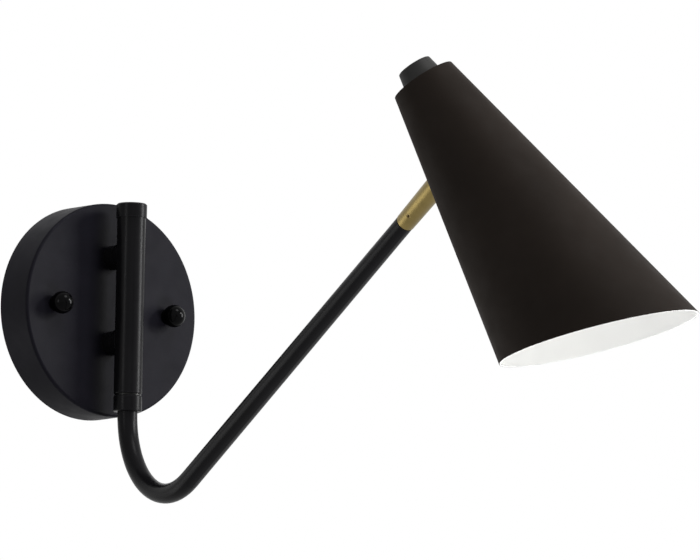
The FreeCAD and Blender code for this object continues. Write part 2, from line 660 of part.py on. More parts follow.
# ----------------------------------------------------- tilts with the head

def fork_placement():
    """Origin at the pin in the head's frame, +Z square through the shade's wall."""
    return Placement(Vector(0, 0, 0), Rotation(AXIS_X, 90.0 + SHADE_HALF_ANGLE))


def fork():
    """Two cheeks either side of the tongue, a disc, and a hollow threaded end."""
    outer = fork_cheek_outside
    inner = fork_cheek_inside
    block = Part.makeBox(2 * outer, 2 * KNUCKLE_EYE_RADIUS, FORK_ROOT,
                         Vector(-outer, -KNUCKLE_EYE_RADIUS, 0))
    block = block.fuse(rod(2 * KNUCKLE_EYE_RADIUS, Vector(-outer, 0, 0), AXIS_X, 2 * outer))
    block = block.common(rod(FORK_DISC_DIAMETER, Vector(0, 0, -KNUCKLE_EYE_RADIUS), AXIS_Z,
                             KNUCKLE_EYE_RADIUS + FORK_ROOT))
    slot = Part.makeBox(2 * inner, 4 * KNUCKLE_EYE_RADIUS, KNUCKLE_EYE_RADIUS + FORK_ROOT,
                        Vector(-inner, -2 * KNUCKLE_EYE_RADIUS, -KNUCKLE_EYE_RADIUS))
    body = block.cut(slot)
    body = body.fuse(rod(FORK_DISC_DIAMETER, Vector(0, 0, FORK_ROOT), AXIS_Z, fork_disc_end - FORK_ROOT))
    root = Vector(0, 0, FORK_ROOT)
    body = body.fuse(rod(FORK_NIPPLE_DIAMETER, root, AXIS_Z, fork_nipple_end - FORK_ROOT))
    body = body.removeSplitter()
    body = body.cut(rod(FORK_NIPPLE_BORE, root, AXIS_Z, fork_nipple_end))
    return body.cut(rod(PIVOT_DIAMETER, Vector(-2 * outer, 0, 0), AXIS_X, 4 * outer))


def pivot_screw():
    """The shoulder screw through both cheeks and the tongue."""
    shank = 2 * fork_cheek_outside + PIVOT_NUT_HEIGHT
    seat = Vector(-fork_cheek_outside, 0, 0)
    return pan_head(PIVOT_HEAD_DIAMETER, PIVOT_HEAD_HEIGHT, PIVOT_DIAMETER, shank, seat, AXIS_X)


def pivot_nut():
    seat = Vector(fork_cheek_outside, 0, 0)
    return hex_nut(PIVOT_NUT_FLATS, PIVOT_DIAMETER, seat, AXIS_X, PIVOT_NUT_HEIGHT)


def shade_cone(inset):
    """The cone inside the shade's outer surface, inset square to the wall.

    It is drawn well past the mouth, which is cut afterwards.
    """
    length = SHADE_LENGTH + 3 * SHADE_TOP_RADIUS
    top = SHADE_TOP_RADIUS - inset / math.cos(half_angle)
    bottom = top + length * math.tan(half_angle)
    return Part.makeCone(bottom, top, length, shade_top - AXIS_Z * length, AXIS_Z)


def beyond_mouth():
    """All that lies past the slanting plane of the mouth."""
    slant = math.radians(MOUTH_SLANT)
    turn = math.radians(MOUTH_TURN)
    short_side = Vector(-math.sin(turn), math.cos(turn), 0)
    normal = short_side * math.sin(slant) - AXIS_Z * math.cos(slant)
    size = 4.0 * SHADE_LENGTH
    block = Part.makeBox(size, size, size, Vector(-size / 2.0, -size / 2.0, 0))
    block.Placement = Placement(shade_top - AXIS_Z * SHADE_LENGTH, Rotation(AXIS_Z, normal))
    return block


def shade():
    """A thin cone with a flat top plate and a mouth cut on the slant."""
    half_width = 2 * SHADE_TOP_RADIUS
    above_plate = Part.makeBox(2 * half_width, 2 * half_width, half_width,
                               shade_top + Vector(-half_width, -half_width, -SHADE_WALL))
    hollow = shade_cone(SHADE_WALL).cut(above_plate)
    shell = shade_cone(0).cut(hollow).cut(beyond_mouth())
    bore_start = shade_top + AXIS_Z * CUT_THROUGH
    shell = shell.cut(rod(SHADE_TOP_BORE, bore_start, AXIS_Z * -1, SHADE_WALL + 2 * CUT_THROUGH))
    side_hole = rod(FORK_NIPPLE_DIAMETER + 2 * FORK_NIPPLE_CLEARANCE, Vector(0, 0, 0), AXIS_Z,
                    fork_nipple_end)
    return shell.cut(placed(side_hole, fork_placement()))


def outer_saddle():
    """The shaped washer between the fork and the outside of the shade."""
    sunk = SADDLE_DIAMETER / 2.0
    blank = ring(SADDLE_DIAMETER, FORK_NIPPLE_DIAMETER, Vector(0, 0, fork_disc_end), AXIS_Z,
                 SADDLE_THICKNESS + sunk)
    return placed(blank, fork_placement()).cut(shade_cone(0))


def inner_saddle():
    """The shaped washer between the inside of the shade and the lock nut."""
    reach = SHADE_WALL + INNER_SADDLE_THICKNESS
    blank = ring(SADDLE_DIAMETER, FORK_NIPPLE_DIAMETER, Vector(0, 0, PIN_TO_SHADE), AXIS_Z, reach)
    return placed(blank, fork_placement()).common(shade_cone(SHADE_WALL))


def fork_nut():
    start = Vector(0, 0, PIN_TO_SHADE + SHADE_WALL + INNER_SADDLE_THICKNESS)
    nut = hex_nut(FORK_NUT_FLATS, FORK_NIPPLE_DIAMETER, start, AXIS_Z, FORK_NUT_HEIGHT)
    return placed(nut, fork_placement())


def shade_cap():
    """The small cap on the shade's top, on the same taper as the shade."""
    top_radius = CAP_BASE_RADIUS - CAP_HEIGHT * math.tan(half_angle)
    cap = Part.makeCone(CAP_BASE_RADIUS, top_radius, CAP_HEIGHT, shade_top, AXIS_Z)
    rim = [edge for edge in cap.Edges if edge.BoundBox.ZMin > PIN_BELOW_SHADE_TOP + CAP_HEIGHT - 0.1]
    cap = cap.makeFillet(CAP_EDGE_RADIUS, rim)
    return cap.cut(rod(HOLDER_NIPPLE_DIAMETER, shade_top, AXIS_Z, CAP_THREAD_DEPTH))


def holder_nipple():
    """The hollow threaded tube that clamps the cap, the shade and the holder."""
    bottom = Vector(0, shade_axis_y, holder_base_top - HOLDER_NIPPLE_IN_BASE)
    length = PIN_BELOW_SHADE_TOP + CAP_THREAD_DEPTH - LEAD_END_GAP - bottom.z
    return ring(HOLDER_NIPPLE_DIAMETER, HOLDER_NIPPLE_BORE, bottom, AXIS_Z, length)


def holder_nut():
    start = Vector(0, shade_axis_y, holder_base_top)
    return hex_nut(HOLDER_NUT_FLATS, HOLDER_NIPPLE_DIAMETER, start, AXIS_Z, HOLDER_NUT_HEIGHT)


def head_lead_wire():
    """From the fork's bore, up beside the lampholder and into its base."""
    along = fork_placement().Rotation.multVec(AXIS_Z)
    radius = HOLDER_BODY_DIAMETER / 2.0 + LEAD_DIAMETER / 2.0 + LEAD_BESIDE_HOLDER
    beside = shade_axis_y + radius
    turn_in = holder_body_top + LEAD_ABOVE_BODY
    into_base = shade_axis_y + HOLDER_BASE_DIAMETER / 2.0 - LEAD_INTO_BASE
    points = [
        along * (PIN_TO_SHADE + SHADE_WALL),
        along * (beside / along.y),
        Vector(0, beside, turn_in),
        Vector(0, into_base, turn_in + LEAD_RISE_IN_BASE),
    ]
    return path_wire(points, HEAD_LEAD_TURN_RADIUS)


def head_lead():
    return sweep_round(head_lead_wire(), LEAD_DIAMETER)


def holder_base():
    """The lampholder's upper block, with its terminal bores and lead hole."""
    bottom = Vector(0, shade_axis_y, holder_body_top)
    block = rod(HOLDER_BASE_DIAMETER, bottom, AXIS_Z, HOLDER_BASE_HEIGHT)
    thread = Vector(0, shade_axis_y, holder_base_top - HOLDER_NIPPLE_IN_BASE)
    block = block.cut(rod(HOLDER_NIPPLE_DIAMETER, thread, AXIS_Z, HOLDER_NIPPLE_IN_BASE))
    for side in (-1, 1):
        start = Vector(side * TERMINAL_SCREW_OFFSET, shade_axis_y, holder_base_top)
        block = block.cut(rod(TERMINAL_SCREW_SHANK, start, AXIS_Z * -1, TERMINAL_SCREW_LENGTH))
    return block.cut(sweep_round(head_lead_wire(), LEAD_DIAMETER + 2 * LEAD_HOLE_CLEARANCE))


def terminal_screws():
    pair = []
    for side in (-1, 1):
        seat = Vector(side * TERMINAL_SCREW_OFFSET, shade_axis_y, holder_base_top)
        pair.append(pan_head(TERMINAL_SCREW_HEAD, TERMINAL_SCREW_HEAD_HEIGHT, TERMINAL_SCREW_SHANK,
                             TERMINAL_SCREW_LENGTH, seat, AXIS_Z * -1))
    return Part.Compound(pair)


def holder_body():
    """The insulating cup round the screw shell."""
    bottom = Vector(0, shade_axis_y, holder_body_top - HOLDER_BODY_HEIGHT)
    cup = rod(HOLDER_BODY_DIAMETER, bottom, AXIS_Z, HOLDER_BODY_HEIGHT)
    inside = HOLDER_BODY_DIAMETER - 2 * HOLDER_BODY_WALL
    return cup.cut(rod(inside, bottom, AXIS_Z, HOLDER_BODY_HEIGHT - HOLDER_FLOOR))


def screw_shell():
    """The thin metal shell that the lamp screws into, with rolled ridges."""
    top = holder_body_top - HOLDER_FLOOR
    start = Vector(0, shade_axis_y, top - SHELL_DEPTH)
    shell = ring(SHELL_DIAMETER, SHELL_DIAMETER - 2 * SHELL_WALL, start, AXIS_Z, SHELL_DEPTH)
    ridge_radius = SHELL_DIAMETER / 2.0 - SHELL_WALL
    pitch = SHELL_DEPTH / (SHELL_ROLLS + 1)
    for index in range(SHELL_ROLLS):
        centre = start + AXIS_Z * (pitch * (index + 1))
        shell = shell.fuse(Part.makeTorus(ridge_radius, SHELL_ROLL_RADIUS, centre, AXIS_Z))
    return shell.common(rod(SHELL_DIAMETER, start, AXIS_Z, SHELL_DEPTH))


def centre_contact():
    """A bent spring strip on the floor of the lampholder."""
    floor = holder_body_top - HOLDER_FLOOR
    half = CONTACT_LENGTH / 2.0
    foot_end = CONTACT_FOOT_LENGTH - half
    profile = [
        (-half, 0),
        (foot_end, 0),
        (half, -CONTACT_RISE),
        (half, -CONTACT_RISE - CONTACT_THICKNESS),
        (foot_end, -CONTACT_THICKNESS),
        (-half, -CONTACT_THICKNESS),
    ]
    corners = [Vector(x, shade_axis_y - CONTACT_WIDTH / 2.0, floor + z) for x, z in profile]
    outline = Part.makePolygon(corners + corners[:1])
    return Part.Face(outline).extrude(AXIS_Y * CONTACT_WIDTH)


# ---------------------------------------------------------------- assembly

def wall_nodes():
    upper, lower = standoff_heights
    return {
        "canopy": canopy(),
        "crossbar": crossbar(),
        "mounting_studs": studs(),
        "stud_nuts": stud_nuts(),
        "ball_nuts": ball_nuts(),
        "ground_screw": ground_screw(),
        "upper_standoff": standoff(upper, MOUNT_SCREW_DIAMETER),
        "lower_standoff": standoff(lower, WIRE_NIPPLE_DIAMETER),
        "mount_screw": mount_screw(),
        "wire_nipple": wire_nipple(),
        "wire_nipple_nut": wire_nut(),
        "barrel": barrel(),
        "barrel_cap": barrel_cap(),
        "hinge_bushing": bushing(),
        "base_lead": base_lead(),
    }


def arm_nodes():
    on_arm = arm_placement()
    return {
        "friction_washer": placed(friction_washer(), on_arm),
        "arm_collar": placed(collar(), on_arm),
        "hinge_nipple": placed(hinge_nipple(), on_arm),
        "spring_washer": placed(spring_washer(), on_arm),
        "hinge_nut": placed(hinge_nut(), on_arm),
        "arm_tube": placed(arm_tube(), on_arm),
        "arm_lead": placed(arm_lead(), on_arm),
        "stem_spigot": placed(spigot(), leg_placement()),
    }


def stem_nodes():
    return {
        "knuckle_stem": placed(stem(), stem_placement()),
        "stem_set_screw": placed(set_screw(), stem_placement()),
    }


def head_nodes():
    on_head = head_placement()
    on_fork = knuckle_placement()
    return {
        "knuckle_fork": placed(fork(), on_fork),
        "pivot_screw": placed(pivot_screw(), on_fork),
        "pivot_nut": placed(pivot_nut(), on_fork),
        "outer_saddle_washer": placed(outer_saddle(), on_head),
        "inner_saddle_washer": placed(inner_saddle(), on_head),
        "fork_lock_nut": placed(fork_nut(), on_head),
        "shade": placed(shade(), on_head),
        "shade_cap": placed(shade_cap(), on_head),
        "holder_nipple": placed(holder_nipple(), on_head),
        "holder_lock_nut": placed(holder_nut(), on_head),
        "lampholder_base": placed(holder_base(), on_head),
        "terminal_screws": placed(terminal_screws(), on_head),
        "lampholder_body": placed(holder_body(), on_head),
        "screw_shell": placed(screw_shell(), on_head),
        "centre_contact": placed(centre_contact(), on_head),
        "head_lead": placed(head_lead(), on_head),
    }


def main():
    os.makedirs("parts", exist_ok=True)
    for nodes in (wall_nodes(), arm_nodes(), stem_nodes(), head_nodes()):
        for name, shape in nodes.items():
            solids = shape.Solids
            whole = solids[0] if len(solids) == 1 else Part.Compound(solids)
            whole.exportStep("parts/" + name + ".step")
            volume = sum(solid.Volume for solid in solids)
            valid = all(solid.isValid() for solid in solids)
            print("%-20s solids %d  volume %9.1f  valid %s" % (name, len(solids), volume, valid))
    pin = stem_placement().Base
    print("pin at", tuple(round(value, 3) for value in pin))
    leg = leg_placement().Rotation.multVec(AXIS_Z)
    across = stem_placement().Rotation.multVec(AXIS_X)
    print("leg axis", tuple(round(value, 5) for value in leg))
    print("pin axis", tuple(round(value, 5) for value in across))


main()
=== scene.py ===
import json
import math

import bpy
from mathutils import Matrix, Vector

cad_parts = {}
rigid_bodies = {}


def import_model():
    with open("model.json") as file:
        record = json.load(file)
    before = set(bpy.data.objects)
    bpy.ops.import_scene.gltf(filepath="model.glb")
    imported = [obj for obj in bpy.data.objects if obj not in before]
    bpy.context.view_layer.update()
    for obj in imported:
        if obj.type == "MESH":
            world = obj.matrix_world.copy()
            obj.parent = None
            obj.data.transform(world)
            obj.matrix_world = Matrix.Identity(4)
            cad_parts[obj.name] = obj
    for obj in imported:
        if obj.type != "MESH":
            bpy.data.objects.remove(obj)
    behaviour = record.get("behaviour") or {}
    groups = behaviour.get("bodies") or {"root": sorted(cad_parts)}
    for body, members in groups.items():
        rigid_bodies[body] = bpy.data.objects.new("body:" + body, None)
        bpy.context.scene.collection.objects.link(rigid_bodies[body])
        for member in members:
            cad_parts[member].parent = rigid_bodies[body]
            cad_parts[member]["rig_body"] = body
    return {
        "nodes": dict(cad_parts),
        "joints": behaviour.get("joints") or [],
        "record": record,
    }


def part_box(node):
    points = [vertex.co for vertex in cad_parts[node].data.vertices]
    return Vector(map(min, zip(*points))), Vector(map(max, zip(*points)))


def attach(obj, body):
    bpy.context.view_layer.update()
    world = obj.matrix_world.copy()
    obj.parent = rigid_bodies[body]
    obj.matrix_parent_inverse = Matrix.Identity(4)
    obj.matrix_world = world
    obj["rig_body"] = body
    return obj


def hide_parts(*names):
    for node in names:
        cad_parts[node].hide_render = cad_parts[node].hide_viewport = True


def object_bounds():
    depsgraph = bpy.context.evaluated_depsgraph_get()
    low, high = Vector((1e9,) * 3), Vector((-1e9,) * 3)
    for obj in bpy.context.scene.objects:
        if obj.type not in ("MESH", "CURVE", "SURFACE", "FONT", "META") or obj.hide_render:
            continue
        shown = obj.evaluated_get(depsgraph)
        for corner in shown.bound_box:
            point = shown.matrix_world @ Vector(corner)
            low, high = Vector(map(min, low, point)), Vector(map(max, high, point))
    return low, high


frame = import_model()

# Swing arm wall sconce.  Metres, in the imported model's frame: the wall is the
# plane y = 0, the lamp stands out towards -Y, +Z is up.

cad_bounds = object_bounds()
record = frame["record"]
nodes = frame["nodes"]
joints = {joint["name"]: joint for joint in frame["joints"]}
mounts = {mount["name"]: mount for mount in record["mounts"]}
slots = {part["node"]: part["material_slot"] for part in record["subparts"]}

# ---- camera: where it stands, seen from the origin, and how it is turned, in degrees ----
CAMERA_AZIMUTH = 37.748
CAMERA_ELEVATION = -7.472
CAMERA_DISTANCE = 8.0
CAMERA_YAW = -1.0600
CAMERA_PITCH = 0.1600
CAMERA_ROLL = -1.2508
CAMERA_LENS_MM = 733.37
SENSOR_WIDTH_MM = 36.0
CAMERA_REACH = 100.0

# ---- studio ----
WHITE = (1.0, 1.0, 1.0, 1.0)
FLOOR_DROP = 1.5
FLOOR_RADIUS = 12.0
FLOOR_GREY = (0.82, 0.82, 0.82, 1.0)
FLOOR_GLOW_SHARE = 0.75
WORLD_DIFFUSE_LEVEL = 0.28

# ---- the shade's outer cone, measured from the lampholder's mouth ----
SHADE_HALF_ANGLE = 11.41
SHADE_RADIUS_AT_SOCKET = 0.02569
SHADE_TOP_ABOVE_SOCKET = 0.0376
OUTSIDE_PAINT_DEPTH = 0.0003

# ---- colours: linear red, green and blue ----
CANOPY_BLACK = (0.0090, 0.0086, 0.0122)
NEUTRAL_BLACK = (0.0058, 0.0056, 0.0064)
# the cap is the shade's own black paint, painted about twice as light: a painted highlight for the top
# light on it
CAP_PAINTED_HIGHLIGHT_BLACK = (0.0460, 0.0454, 0.0443)
SHADE_BLACK = (0.0228, 0.0178, 0.0148)
SHADE_WHITE = (0.90, 0.90, 0.885)
STEM_BRASS = (0.235, 0.175, 0.058)
CONTACT_BRASS = (0.75, 0.60, 0.30)
ZINC = (0.62, 0.62, 0.60)
DARK_STEEL = (0.22, 0.165, 0.075)
COPPER = (0.80, 0.42, 0.26)
EARTH_GREEN = (0.03, 0.22, 0.06)
BEARING_CREAM = (0.78, 0.76, 0.70)
HOLDER_CREAM = (0.82, 0.80, 0.74)
SHEATH_BLACK = (0.03, 0.03, 0.03)
CORE_WHITE = (0.75, 0.75, 0.73)

# ---- surfaces: a lighter line along the edges, a painted highlight on the paint, wear and a painted sheen on bare metal ----
PAINT_EDGE_HIGHLIGHT_WIDTH = 0.0006
PAINT_EDGE_HIGHLIGHT = 4.0
METAL_EDGE_WEAR_AND_SHEEN_WIDTH = 0.0005
METAL_EDGE_WEAR_AND_SHEEN = 1.25
PATCHES_PER_METRE = 260.0
LATHE_RINGS_PER_METRE = 4500.0
SMOOTH_GRAIN = 0.000012

# ---- pieces that are turned or drawn, and painted smoother than the canopy ----
SMOOTH_NODES = ("barrel", "barrel_cap", "arm_collar", "arm_tube", "upper_standoff", "lower_standoff")

# ---- new meshes: edges that turn by more degrees than this are shaded sharp ----
SHARP_EDGE_ANGLE = 40.0

# ---- cut threads: flats a sixth of a pitch wide on crest and root ----
FLANK_SLOPE = 3.0
FLANK_LEVEL = 1.25
STUD_PITCH = 0.0008
STUD_THREAD_DEPTH = 0.00035
NIPPLE_PITCH = 0.001
NIPPLE_THREAD_DEPTH = 0.0005
WIRE_NIPPLE_BORE = 0.0027
HINGE_NIPPLE_BORE = 0.0028
HOLDER_NIPPLE_BORE = 0.003
HOLDER_NIPPLE_RADIUS = 0.005
HOLDER_NIPPLE_LENGTH = 0.0143
HOLDER_NIPPLE_ABOVE_SOCKET = 0.0433

# ---- the lampholder's rolled shell ----
SHELL_LENGTH = 0.022
SHELL_PITCH = 0.00363
SHELL_WALL = 0.00045
SHELL_CREST = 0.0133
SHELL_THREAD_DEPTH = 0.0007
SHELL_STEPS = 84

# ---- the lampholder's cup; heights are along the socket's axis, 0 at the mount ----
CUP_OUTER = 0.0148
CUP_INNER = 0.0134
CUP_CENTRE_HOLE = 0.0004
CUP_BACK = -0.025
CUP_FLOOR = -0.022
CUP_MOUTH = 0.005
CUP_BACK_ROUNDING = 0.0010
CUP_BACK_BEVEL_POINT = 0.0003
CUP_GROOVES = (-0.0090, -0.0055, -0.0020)
CUP_GROOVE_HALF_WIDTH = 0.0006
CUP_GROOVE_FLOOR_HALF_WIDTH = 0.0003
CUP_GROOVE_DEPTH = 0.0003
CUP_LIP_STEPS = 8
HOLDER_SEGMENTS = 72

# ---- the lead's two cores inside the canopy ----
CORE_RADIUS = 0.00055
BARE_RADIUS = 0.00035
CORE_SIDE_AT_SHEATH = 0.0006
CORE_SPREAD = 0.0020
CORE_LENGTH = 0.0065
CORE_IN_SHEATH = 0.0010
CORE_STEPS = 8
BARE_STEPS = 2


# ------------------------------------------------------------ node building

def node(tree, kind, **inputs):
    """A shader node with some of its input sockets set by name."""
    made = tree.nodes.new("ShaderNode" + kind)
    for name, value in inputs.items():
        made.inputs[name.replace("_", " ")].default_value = value
    return made


def feed(tree, socket, value):
    """Links a socket's value in, or sets a fixed one."""
    if isinstance(value, bpy.types.NodeSocket):
        tree.links.new(value, socket)
    else:
        socket.default_value = value


def calculate(tree, kind, operation, *operands):
    """The result of a Math or VectorMath node."""
    made = node(tree, kind)
    made.operation = operation
    for socket, operand in zip(made.inputs, operands):
        feed(tree, socket, operand)
    is_number = kind == "Math" or operation in ("DOT_PRODUCT", "LENGTH")
    return made.outputs["Value" if is_number else "Vector"]


def mix_shaders(tree, factor, first, second):
    mix = node(tree, "MixShader")
    feed(tree, mix.inputs["Fac"], factor)
    tree.links.new(first.outputs[0], mix.inputs[1])
    tree.links.new(second.outputs[0], mix.inputs[2])
    return mix


def seen_directly(tree):
    """1 for camera, glossy and transmission rays, 0 for light on the object."""
    path = node(tree, "LightPath").outputs
    shown = calculate(tree, "Math", "MAXIMUM", path["Is Camera Ray"], path["Is Glossy Ray"])
    return calculate(tree, "Math", "MAXIMUM", shown, path["Is Transmission Ray"])


# ------------------------------------------------------------ camera, studio

def make_camera():
    """Camera at the viewing angle: a long lens a good way off."""
    azimuth = math.radians(CAMERA_AZIMUTH)
    elevation = math.radians(CAMERA_ELEVATION)
    away = Vector((
        -math.sin(azimuth) * math.cos(elevation),
        -math.cos(azimuth) * math.cos(elevation),
        math.sin(elevation),
    ))
    forward = -away
    right = forward.cross(Vector((0, 0, 1))).normalized()
    up = right.cross(forward)
    yaw = Matrix.Rotation(math.radians(CAMERA_YAW), 3, up)
    forward = yaw @ forward
    right = yaw @ right
    pitch = Matrix.Rotation(math.radians(CAMERA_PITCH), 3, right)
    forward = pitch @ forward
    up = pitch @ up
    roll = Matrix.Rotation(math.radians(CAMERA_ROLL), 3, forward)
    right = roll @ right
    up = roll @ up
    data = bpy.data.cameras.new("camera")
    data.sensor_width = SENSOR_WIDTH_MM
    data.lens = CAMERA_LENS_MM
    data.clip_end = CAMERA_REACH
    camera = bpy.data.objects.new("camera", data)
    camera.matrix_world = Matrix((
        (right.x, up.x, -forward.x, away.x * CAMERA_DISTANCE),
        (right.y, up.y, -forward.y, away.y * CAMERA_DISTANCE),
        (right.z, up.z, -forward.z, away.z * CAMERA_DISTANCE),
        (0, 0, 0, 1),
    ))
    bpy.context.scene.collection.objects.link(camera)
    bpy.context.scene.camera = camera


def make_world():
    """White where it is seen or mirrored, a plain grey where it gives light."""
    world = bpy.data.worlds.new("studio")
    world.use_nodes = True
    tree = world.node_tree
    tree.nodes.clear()
    light = node(tree, "Background", Color=WHITE, Strength=WORLD_DIFFUSE_LEVEL)
    seen = node(tree, "Background", Color=WHITE, Strength=1.0)
    mixed = mix_shaders(tree, seen_directly(tree), light, seen)
    tree.links.new(mixed.outputs[0], node(tree, "OutputWorld").inputs["Surface"])
    bpy.context.scene.world = world


def make_floor():
    """A plain pale floor, a sconce's usual height below it, clear from underneath."""
    mesh = bpy.data.meshes.new("floor")
    corners = [(-1, -1), (1, -1), (1, 1), (-1, 1)]
    points = [(x * FLOOR_RADIUS, y * FLOOR_RADIUS, -FLOOR_DROP) for x, y in corners]
    mesh.from_pydata(points, [], [(0, 1, 2, 3)])
    floor = bpy.data.objects.new("floor", mesh)
    bpy.context.scene.collection.objects.link(floor)
    material = bpy.data.materials.new("floor")
    material.use_nodes = True
    tree = material.node_tree
    tree.nodes.clear()
    matte = node(tree, "BsdfDiffuse", Color=FLOOR_GREY)
    glow = node(tree, "Emission", Color=WHITE)
    tree.links.new(seen_directly(tree), glow.inputs["Strength"])
    pale = mix_shaders(tree, FLOOR_GLOW_SHARE, matte, glow)
    from_below = node(tree, "NewGeometry").outputs["Backfacing"]
    shown = mix_shaders(tree, from_below, pale, node(tree, "BsdfTransparent"))
    tree.links.new(shown.outputs[0], node(tree, "OutputMaterial").inputs["Surface"])
    mesh.materials.append(material)


def place_light(data, place, toward):
    """Puts a light in the scene, turned so that it shines away from a direction."""
    light = bpy.data.objects.new(data.name, data)
    light.location = place
    light.rotation_mode = "QUATERNION"
    light.rotation_quaternion = toward.to_track_quat("Z", "Y")
    bpy.context.scene.collection.objects.link(light)
    return light


def area_light(name, direction, distance, size, watts, mirrored=True, diffuse=True):
    """A soft box that faces the middle of the lamp from a direction."""
    low, high = cad_bounds
    toward = Vector(direction).normalized()
    data = bpy.data.lights.new(name, "AREA")
    data.shape = "RECTANGLE"
    data.size, data.size_y = size
    data.energy = watts
    light = place_light(data, (low + high) / 2 + toward * distance, toward)
    light.visible_glossy = mirrored
    light.visible_diffuse = diffuse


def light_under_shade(distance, size, watts):
    """A round soft box close below the mouth, so that it lights little else."""
    socket, axis = socket_line()
    data = bpy.data.lights.new("under_shade", "AREA")
    data.shape = "DISK"
    data.size = size
    data.energy = watts
    light = place_light(data, socket + axis * distance, axis)
    light.visible_glossy = False


def make_lights():
    """Soft light from all sides; streak and glint show in shiny surfaces only."""
    area_light("key", (0.70, -0.64, 0.42), distance=2.0, size=(0.34, 0.40), watts=18.5)
    area_light("streak", (0.86, -0.48, 0.13), distance=2.0, size=(0.60, 0.90), watts=32.0, diffuse=False)
    area_light("left_fill", (-0.985, -0.06, 0.12), distance=2.2, size=(0.40, 0.80), watts=6.0)
    area_light("glint", (-0.58, 0.73, -0.35), distance=2.2, size=(1.10, 1.10), watts=8.5, diffuse=False)
    area_light("top", (0.12, -0.47, 0.87), distance=1.3, size=(0.50, 0.50), watts=7.0)
    area_light("back_fill", (-0.25, 1.0, 0.25), distance=2.2, size=(1.0, 1.0), watts=6.0, mirrored=False)
    light_under_shade(distance=0.56, size=0.35, watts=3.7)


# ---------------------------------------------------------- surface patterns

def object_point(tree):
    return node(tree, "TexCoord").outputs["Object"]


def noise(tree, per_metre, detail=3.0):
    """Noise in the object's own space."""
    texture = node(tree, "TexNoise", Scale=per_metre, Detail=detail)
    tree.links.new(object_point(tree), texture.inputs["Vector"])
    return texture.outputs["Fac"]


def rings_along(tree, axis):
    """Fine uneven rings, as a lathe leaves, one after another along an axis."""
    texture = node(tree, "TexNoise")
    texture.noise_dimensions = "1D"
    texture.inputs["Scale"].default_value = LATHE_RINGS_PER_METRE
    texture.inputs["Detail"].default_value = 3.0
    along = calculate(tree, "VectorMath", "DOT_PRODUCT", object_point(tree), axis)
    tree.links.new(along, texture.inputs["W"])
    return texture.outputs["Fac"]


def spread(tree, source, low, high):
    """Maps the middle of a noise onto a range."""
    mapped = node(tree, "MapRange", From_Min=0.3, From_Max=0.7, To_Min=low, To_Max=high)
    tree.links.new(source, mapped.inputs["Value"])
    return mapped.outputs["Result"]


def on_edges(tree, width):
    """1 along the piece's edges, broken up by noise, and 0 elsewhere."""
    rounded = node(tree, "Bevel", Radius=width).outputs[0]
    flat = node(tree, "NewGeometry").outputs["True Normal"]
    agreement = calculate(tree, "VectorMath", "DOT_PRODUCT", rounded, flat)
    turned = node(tree, "MapRange", From_Min=0.995, From_Max=0.90, To_Min=0.0, To_Max=1.0)
    tree.links.new(agreement, turned.inputs["Value"])
    patches = spread(tree, noise(tree, PATCHES_PER_METRE, detail=4.0), 0.15, 1.0)
    return calculate(tree, "Math", "MULTIPLY", turned.outputs["Result"], patches)


def blend_colours(tree, factor, first, second):
    """Mixes two colours, each a fixed colour or a socket."""
    mix = node(tree, "Mix")
    mix.data_type = "RGBA"
    tree.links.new(factor, mix.inputs["Factor"])
    for socket, colour in ((mix.inputs[6], first), (mix.inputs[7], second)):
        is_fixed = isinstance(colour, tuple)
        feed(tree, socket, (*colour, 1.0) if is_fixed else colour)
    return mix.outputs[2]


def shaded(colour, share):
    return tuple(channel * share for channel in colour)


def depth_in_shade_wall(tree):
    """How far a point lies inside the shade's outer cone, in metres."""
    socket = mounts["lamp_socket"]
    offset = calculate(tree, "VectorMath", "SUBTRACT", object_point(tree), socket["pos_m"])
    along = calculate(tree, "VectorMath", "DOT_PRODUCT", offset, socket["axis"])
    across = calculate(tree, "VectorMath", "CROSS_PRODUCT", offset, socket["axis"])
    radius = calculate(tree, "VectorMath", "LENGTH", across)
    half_angle = math.radians(SHADE_HALF_ANGLE)
    growth = calculate(tree, "Math", "MULTIPLY", along, math.tan(half_angle))
    cone = calculate(tree, "Math", "ADD", growth, SHADE_RADIUS_AT_SOCKET)
    inside = calculate(tree, "Math", "SUBTRACT", cone, radius)
    from_side = calculate(tree, "Math", "MULTIPLY", inside, math.cos(half_angle))
    from_top = calculate(tree, "Math", "ADD", along, SHADE_TOP_ABOVE_SOCKET)
    return calculate(tree, "Math", "MINIMUM", from_side, from_top)


# ------------------------------------------------------------------ materials

def new_material(name, metallic, specular):
    material = bpy.data.materials.new(name)
    material.use_nodes = True
    shader = material.node_tree.nodes["Principled BSDF"]
    shader.inputs["Metallic"].default_value = metallic
    shader.inputs["Specular IOR Level"].default_value = specular
    return material, material.node_tree, shader


def add_roughness(tree, shader, pattern, middle, swing):
    """Roughness that wanders round a middle value with a pattern."""
    wandering = spread(tree, pattern, middle - swing, middle + swing)
    tree.links.new(wandering, shader.inputs["Roughness"])


def add_bump(tree, shader, height, distance):
    bump = node(tree, "Bump", Distance=distance, Strength=1.0)
    tree.links.new(height, bump.inputs["Height"])
    tree.links.new(bump.outputs[0], shader.inputs["Normal"])


def powder_coat(name, colour, roughness, specular, grain_per_metre=1600.0, grain=0.00003):
    """Fine-grained paint: cloudy colour and sheen, edges painted lighter as a painted highlight, an
    orange-peel bump.
    """
    material, tree, shader = new_material(name, metallic=0.0, specular=specular)
    cloud = spread(tree, noise(tree, per_metre=45.0), 0.0, 1.0)
    tone = blend_colours(tree, cloud, shaded(colour, 0.85), shaded(colour, 1.15))
    # painted highlight: the paint's colour made lighter along the edges
    edge_wear_and_sheen = on_edges(tree, PAINT_EDGE_HIGHLIGHT_WIDTH)
    tone = blend_colours(tree, edge_wear_and_sheen, tone, shaded(colour, PAINT_EDGE_HIGHLIGHT))
    tree.links.new(tone, shader.inputs["Base Color"])
    add_roughness(tree, shader, noise(tree, per_metre=120.0), roughness, 0.04)
    add_bump(tree, shader, noise(tree, grain_per_metre, detail=2.0), grain)
    return material


